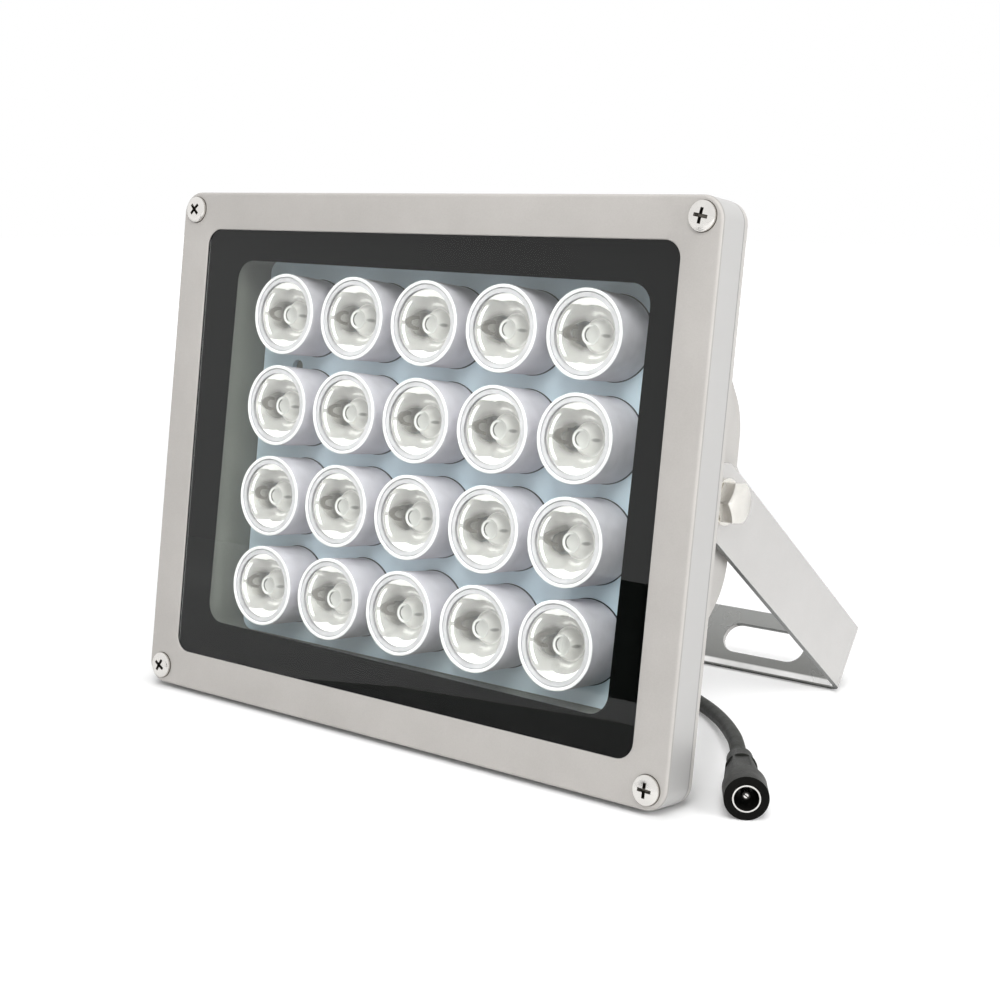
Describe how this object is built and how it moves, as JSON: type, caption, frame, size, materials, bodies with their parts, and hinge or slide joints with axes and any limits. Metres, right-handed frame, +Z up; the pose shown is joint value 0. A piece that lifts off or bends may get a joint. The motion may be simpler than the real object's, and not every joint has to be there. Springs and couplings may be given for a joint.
{
  "type": "led floodlight",
  "caption": "Flat rectangular LED floodlight with a glass front over a grid of round lenses, a grey cast frame, a U bracket, and a short cord with a low-voltage socket.",
  "frame": {"origin": "on the floor under the middle of the lamp and its bracket, the cord left out", "axes": "+X along the lamp's width to its right as seen from the front, +Y towards its back, +Z up"},
  "size_m": [0.1971, 0.1324, 0.1419],
  "materials": {
    "frame_paint": "fine satin grey paint over a die casting",
    "housing_paint": "fine satin grey paint over a die casting",
    "bracket_paint": "satin grey paint on bent steel strip",
    "seal": "matt black",
    "glass": "clear toughened",
    "print": "black screen print seen through the glass",
    "screw_steel": "bright plated",
    "bolt_steel": "bright plated",
    "board_face": "pale blue solder mask",
    "chip": "yellow phosphor in a white case",
    "holder": "white translucent",
    "lens": "clear moulded",
    "driver": "green board",
    "nylon": "black nylon",
    "cord_jacket": "black satin jacket",
    "plug_grip": "black moulded",
    "contact": "bright nickel"
  },
  "bodies": {
    "head": {"front_frame": "frame_paint", "front_gasket": "seal", "cover_glass": "glass", "glass_border": "print", "rear_gasket": "seal", "frame_screws": "screw_steel", "rear_housing": "housing_paint", "led_board": "board_face", "led_chips": "chip", "driver_board": "driver", "cable_gland": "nylon", "gland_nut": "nylon", "pivot_bolts": "bolt_steel", "pivot_washers": "bolt_steel", "cord": "cord_jacket", "plug_body": "plug_grip", "socket_sleeve": "contact", "socket_pin": "contact", "lens_holder_1_1": "holder", "lens_holder_1_2": "holder", "lens_holder_1_3": "holder", "lens_holder_1_4": "holder", "lens_holder_1_5": "holder", "lens_holder_2_1": "holder", "lens_holder_2_2": "holder", "lens_holder_2_3": "holder", "lens_holder_2_4": "holder", "lens_holder_2_5": "holder", "lens_holder_3_1": "holder", "lens_holder_3_2": "holder", "lens_holder_3_3": "holder", "lens_holder_3_4": "holder", "lens_holder_3_5": "holder", "lens_holder_4_1": "holder", "lens_holder_4_2": "holder", "lens_holder_4_3": "holder", "lens_holder_4_4": "holder", "lens_holder_4_5": "holder", "lens_1_1": "lens", "lens_1_2": "lens", "lens_1_3": "lens", "lens_1_4": "lens", "lens_1_5": "lens", "lens_2_1": "lens", "lens_2_2": "lens", "lens_2_3": "lens", "lens_2_4": "lens", "lens_2_5": "lens", "lens_3_1": "lens", "lens_3_2": "lens", "lens_3_3": "lens", "lens_3_4": "lens", "lens_3_5": "lens", "lens_4_1": "lens", "lens_4_2": "lens", "lens_4_3": "lens", "lens_4_4": "lens", "lens_4_5": "lens"},
    "bracket": {"bracket": "bracket_paint"}
  },
  "joints": [
    {"name": "bracket_tilt", "type": "hinge", "parent": "head", "child": "bracket", "pos_m": [0, -0.01606, 0.06615], "axis": [1, 0, 0], "range_deg": [-30, 120]}
  ]
}
